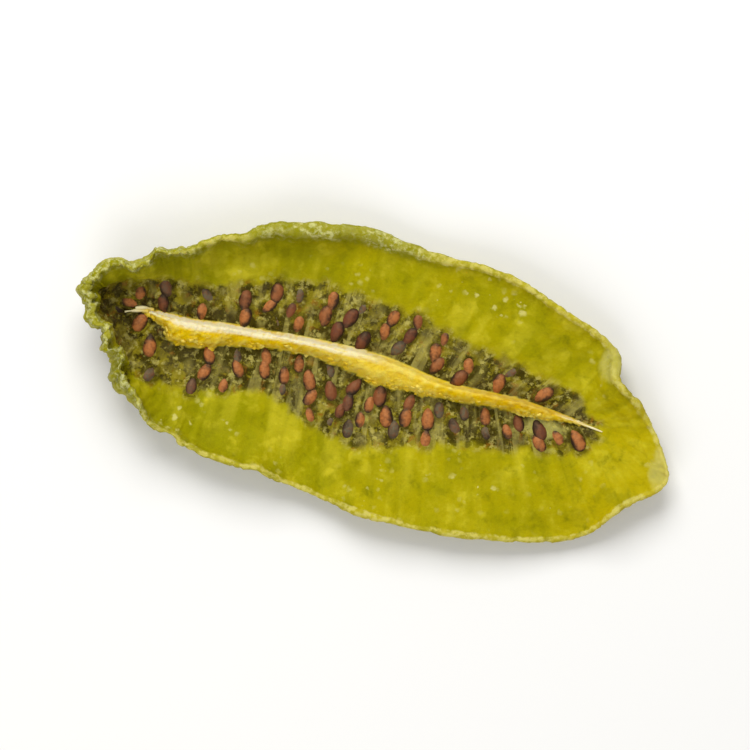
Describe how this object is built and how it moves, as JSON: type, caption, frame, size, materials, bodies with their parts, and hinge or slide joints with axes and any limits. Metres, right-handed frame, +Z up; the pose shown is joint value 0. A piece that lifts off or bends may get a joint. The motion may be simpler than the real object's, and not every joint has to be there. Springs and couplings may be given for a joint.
{
  "type": "dried kiwi slice",
  "caption": "Lengthwise slice of dried kiwi fruit: a shallow boat with a curled, crinkled rim, a raised pale core and a band of small seeds on both sides of it.",
  "frame": {"origin": "middle of the bounding box, on the plane that the slice rests on", "axes": "+Z up out of the shown side, +X along the slice towards its pointed end, +Y towards its far long side as pictured"},
  "size_m": [0.0584, 0.0268, 0.0081],
  "materials": {
    "flesh": "dried fruit flesh: olive yellow-green, slightly translucent, leathery with a soft gloss",
    "seeds": "dried seeds: reddish brown to near black, satin"
  },
  "bodies": {
    "root": {"kiwi_slice": "flesh"}
  },
  "joints": []
}
